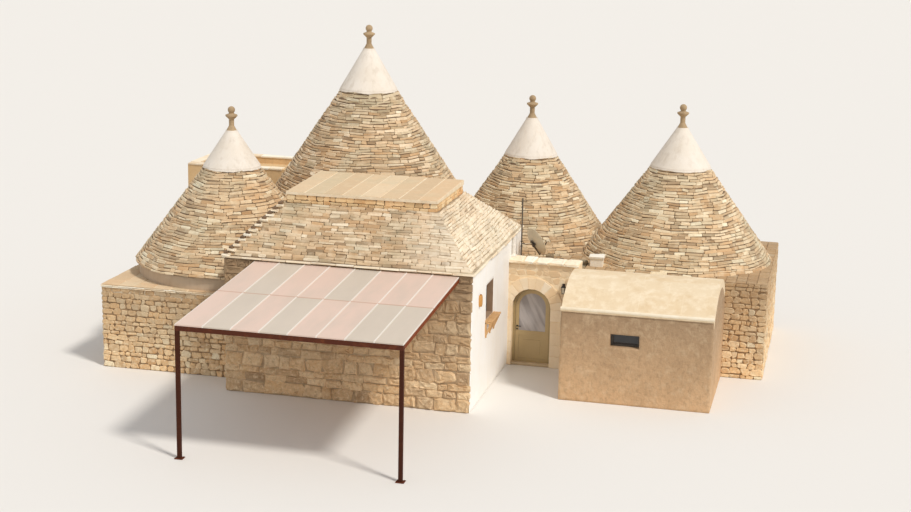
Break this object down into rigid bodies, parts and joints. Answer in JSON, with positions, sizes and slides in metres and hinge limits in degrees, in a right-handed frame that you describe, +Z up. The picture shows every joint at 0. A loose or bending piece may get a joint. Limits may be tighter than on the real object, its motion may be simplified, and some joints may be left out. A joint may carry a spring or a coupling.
{
  "type": "trullo house",
  "caption": "Stone house with conical dry-stone roofs on square rooms, a truncated pyramid roof, a vaulted annex, an arched glass door and a steel pergola.",
  "frame": {"origin": "on the ground under the tip of the tallest cone", "axes": "+X to the right along the front, +Y from the front to the back, +Z up"},
  "size_m": [17.39, 16.455, 9.04],
  "materials": {
    "paving": "matt",
    "wall_stone": "rough",
    "limewash": "matt",
    "roof_stone": "rough",
    "slab_stone": "matt",
    "cap_plaster": "matt",
    "pinnacle_stone": "matt",
    "drum_plaster": "matt",
    "surround_stone": "matt",
    "door_paint": "satin",
    "door_glass": "clear",
    "handle_steel": "satin",
    "vault_plaster": "matt",
    "window_frame": "satin",
    "pergola_steel": "satin",
    "panel_sheet": "matt",
    "ledge_wood": "matt",
    "pipe_paint": "satin",
    "lamp_metal": "satin",
    "dish_metal": "matt"
  },
  "bodies": {
    "house": {"floor": "paving", "front_wall": "wall_stone", "front_left_wall": "wall_stone", "front_right_wall": "limewash", "front_roof": "roof_stone", "roof_slabs": "slab_stone", "core_walls": "wall_stone", "main_cone": "roof_stone", "main_cap": "cap_plaster", "main_pinnacle": "pinnacle_stone", "left_walls": "wall_stone", "left_terrace": "slab_stone", "left_drum": "drum_plaster", "left_cone": "roof_stone", "left_cap": "cap_plaster", "left_pinnacle": "pinnacle_stone", "store_walls": "wall_stone", "store_roof": "slab_stone", "entrance_left_pier": "wall_stone", "entrance_right_pier": "wall_stone", "entrance_arch": "wall_stone", "hall_roof": "slab_stone", "parapet_coping": "slab_stone", "door_surround": "surround_stone", "door_frame": "door_paint", "back_walls": "wall_stone", "back_cone": "roof_stone", "back_cap": "cap_plaster", "back_pinnacle": "pinnacle_stone", "right_walls": "wall_stone", "right_cone": "roof_stone", "right_cap": "cap_plaster", "right_pinnacle": "pinnacle_stone", "annex_front_wall": "wall_stone", "annex_end_walls": "wall_stone", "annex_vault": "vault_plaster", "annex_window": "window_frame", "side_window": "window_frame", "pergola_posts": "pergola_steel", "pergola_frame": "pergola_steel", "pergola_panels": "panel_sheet", "wall_lamps": "lamp_metal", "roof_dish": "dish_metal", "window_ledge": "ledge_wood", "rain_pipe": "pipe_paint", "roof_vent": "limewash"},
    "door": {"door_leaf": "door_paint", "door_glass": "door_glass", "door_handle": "handle_steel"}
  },
  "joints": [
    {"name": "door_hinge", "type": "hinge", "parent": "house", "child": "door", "pos_m": [5.727, -1.621, 1], "axis": [0, 0, -1], "range_deg": [0, 90]}
  ]
}
